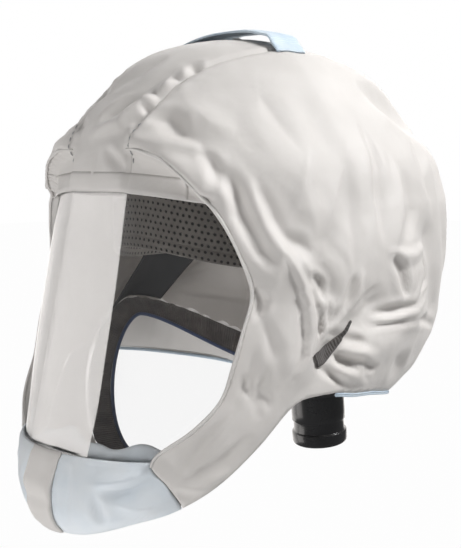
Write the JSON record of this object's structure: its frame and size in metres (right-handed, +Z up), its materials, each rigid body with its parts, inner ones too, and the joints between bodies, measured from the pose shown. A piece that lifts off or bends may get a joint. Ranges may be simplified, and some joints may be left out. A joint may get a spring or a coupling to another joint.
{
  "type": "short protective hood",
  "caption": "Short cloth hood for supplied breathing air, with a bent clear visor, knitted chin panel, elastic neck seal, head harness and a hose connector under its back.",
  "frame": {"origin": "the middle of the head harness, where the hood sits on a head", "axes": "+Z up; the wearer looks along -Y and the wearer's left is +X; the hood is symmetric about the X = 0 plane"},
  "size_m": [0.2622, 0.3503, 0.3273],
  "materials": {
    "coated_cloth": "light warm grey coated polyester cloth, satin",
    "knitted_polyester": "pale blue knitted polyester, matt",
    "loop_webbing": "pale blue woven strap, matt",
    "clear_film": "clear bent plastic film, gloss",
    "dark_elastic": "dark brown-grey elastic, matt",
    "navy_binding": "navy-black bound edge, matt",
    "perforated_foam": "dark warm-grey perforated comfort foam, matt",
    "black_plastic": "black moulded plastic, gloss"
  },
  "bodies": {
    "root": {"carry_loop": "loop_webbing", "chin_panel": "knitted_polyester", "chin_strip": "coated_cloth", "crown_panel": "coated_cloth", "ear_plate_left": "black_plastic", "ear_plate_right": "black_plastic", "ear_strip_left": "dark_elastic", "ear_strip_right": "dark_elastic", "headband": "perforated_foam", "hem_binding": "knitted_polyester", "hose_connector": "black_plastic", "hose_flange": "black_plastic", "neck_seal": "dark_elastic", "neck_skirt": "coated_cloth", "retaining_ring": "black_plastic", "seal_binding": "navy_binding", "side_panel_left": "coated_cloth", "side_panel_right": "coated_cloth", "visor": "clear_film"}
  },
  "joints": []
}
